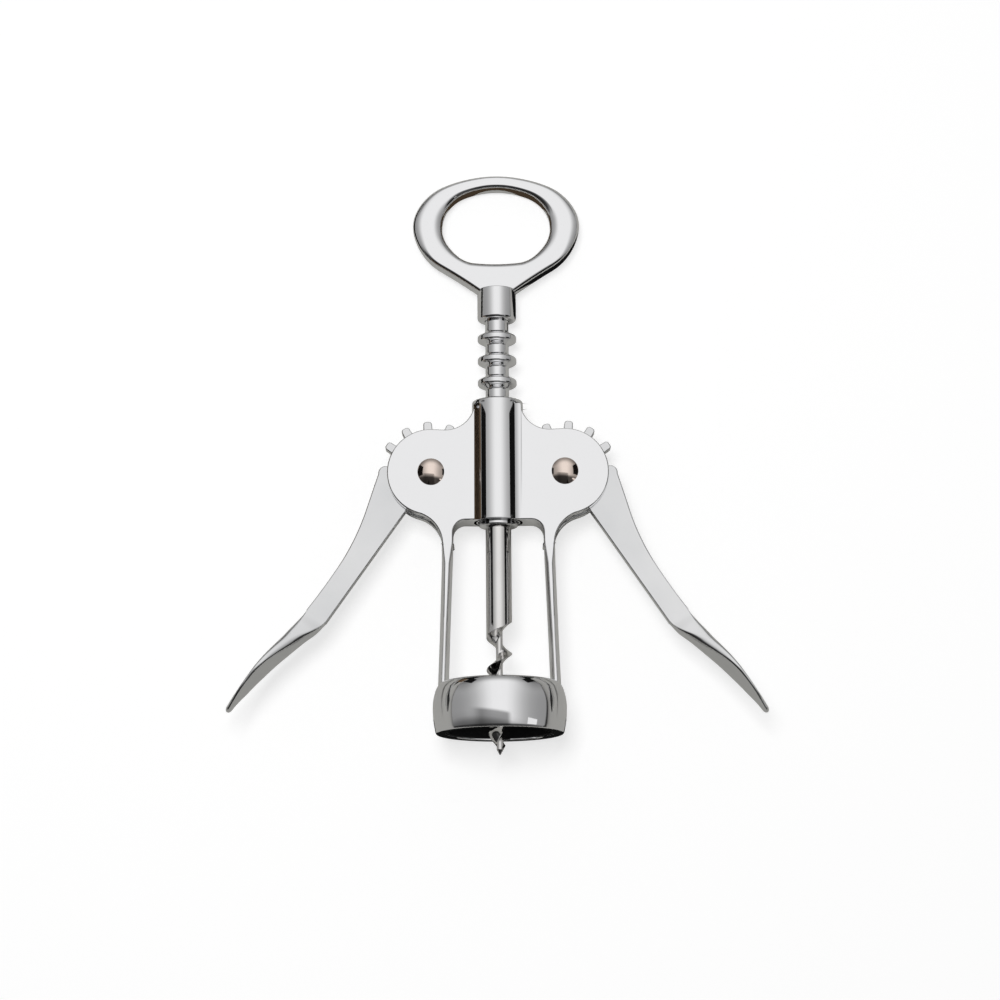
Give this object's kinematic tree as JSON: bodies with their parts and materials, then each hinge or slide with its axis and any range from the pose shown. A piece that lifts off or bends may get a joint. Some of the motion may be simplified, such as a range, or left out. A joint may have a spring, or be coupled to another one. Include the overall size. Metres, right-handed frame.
{
  "type": "wing corkscrew",
  "caption": "Wing corkscrew: a turned worm on a grooved rack rises in a slotted frame while geared side levers swing up, drawing a cork into the bell.",
  "frame": {"origin": "centre of the bell's rim, on the spindle axis", "axes": "+Y along the spindle from the bell to the ring handle, +X across the levers, +Z out of the front plate face, so the tool lies on its back"},
  "size_m": [0.1468, 0.1622, 0.0362],
  "materials": {
    "chrome_casting": "polished",
    "chrome_lever": "polished",
    "chrome_spindle": "polished",
    "steel_worm": "polished",
    "copper_rivet": "polished copper wash",
    "black_liner": "matte"
  },
  "bodies": {
    "frame": {"frame_casting": "chrome_casting", "bell_liner": "black_liner", "left_rivet": "copper_rivet", "right_rivet": "copper_rivet"},
    "spindle": {"rack_sleeve": "chrome_spindle"},
    "screw": {"ring_handle": "chrome_spindle", "worm": "steel_worm"},
    "left_arm": {"left_lever": "chrome_lever"},
    "right_arm": {"right_lever": "chrome_lever"}
  },
  "joints": [
    {"name": "spindle_slide", "type": "slide", "parent": "frame", "child": "spindle", "axis": [0, 1, 0], "range_m": [-0.0229, 0.00838]},
    {"name": "handle_spin", "type": "hinge", "parent": "spindle", "child": "screw", "pos_m": [0, 0.115, 0], "axis": [0, 1, 0], "continuous": true},
    {"name": "left_lever_pivot", "type": "hinge", "parent": "frame", "child": "left_arm", "pos_m": [-0.0183, 0.0714, 0], "axis": [0, 0, 1], "range_deg": [-93.8, 34.3]},
    {"name": "right_lever_pivot", "type": "hinge", "parent": "frame", "child": "right_arm", "pos_m": [0.0183, 0.0714, 0], "axis": [0, 0, 1], "range_deg": [-34.3, 93.8]}
  ],
  "couplings": [
    {"joint": "left_lever_pivot", "follows": "spindle_slide", "rad_per_m": 71.429},
    {"joint": "right_lever_pivot", "follows": "spindle_slide", "rad_per_m": -71.429}
  ]
}
